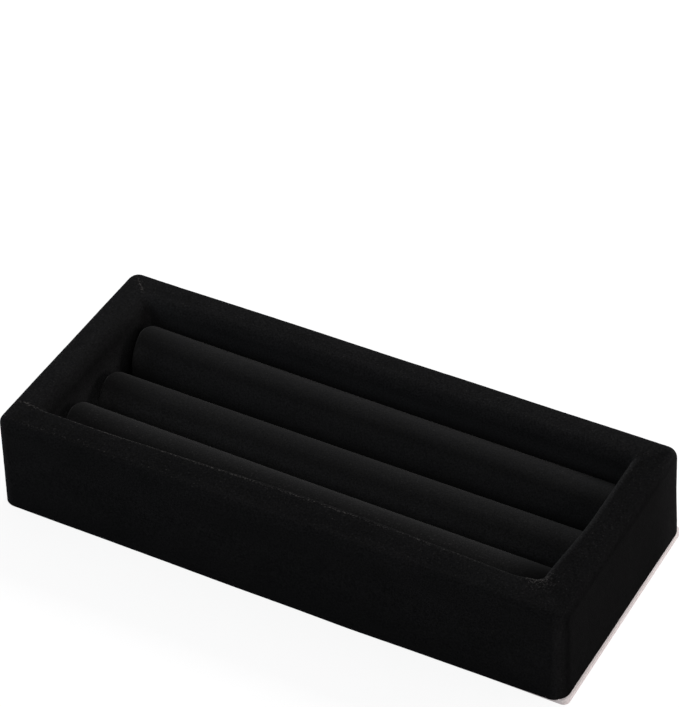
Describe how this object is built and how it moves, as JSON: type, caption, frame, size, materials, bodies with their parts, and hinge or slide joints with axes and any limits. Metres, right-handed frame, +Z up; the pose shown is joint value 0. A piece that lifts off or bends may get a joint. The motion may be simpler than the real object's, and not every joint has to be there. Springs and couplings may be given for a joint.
{
  "type": "jewelry tray",
  "caption": "Rectangular velvet-covered ring tray with a soft rounded rim and a lift-out insert of padded rolls that hold rings in the slots between them.",
  "frame": {"origin": "on the table, under the middle of the velvet frame", "axes": "+X along the tray towards the end where the base board's ledge shows, +Y across it towards the back, +Z up"},
  "size_m": [0.2264, 0.0966, 0.0401],
  "materials": {
    "black_velvet": "black velvet pile",
    "black_felt": "thin black felt",
    "pale_board": "pale pink-grey board, matte",
    "rail_wood": "raw planed softwood",
    "bright_steel": "bright drawn wire",
    "black_card": "black card, matte",
    "foam": "grey open-cell foam"
  },
  "bodies": {
    "tray": {"base_board": "pale_board", "floor_lining": "black_felt", "front_rail": "rail_wood", "back_rail": "rail_wood", "left_rail": "rail_wood", "right_rail": "rail_wood", "corner_brads": "bright_steel", "velvet_wrap": "black_velvet"},
    "roll_insert": {"insert_card": "black_card", "foam_core_back": "foam", "foam_core_middle": "foam", "foam_core_front": "foam", "roll_cover_back": "black_velvet", "roll_cover_middle": "black_velvet", "roll_cover_front": "black_velvet"}
  },
  "joints": [
    {"name": "insert_lift", "type": "slide", "parent": "tray", "child": "roll_insert", "axis": [0, 0, 1], "range_m": [0, 0.045]}
  ]
}
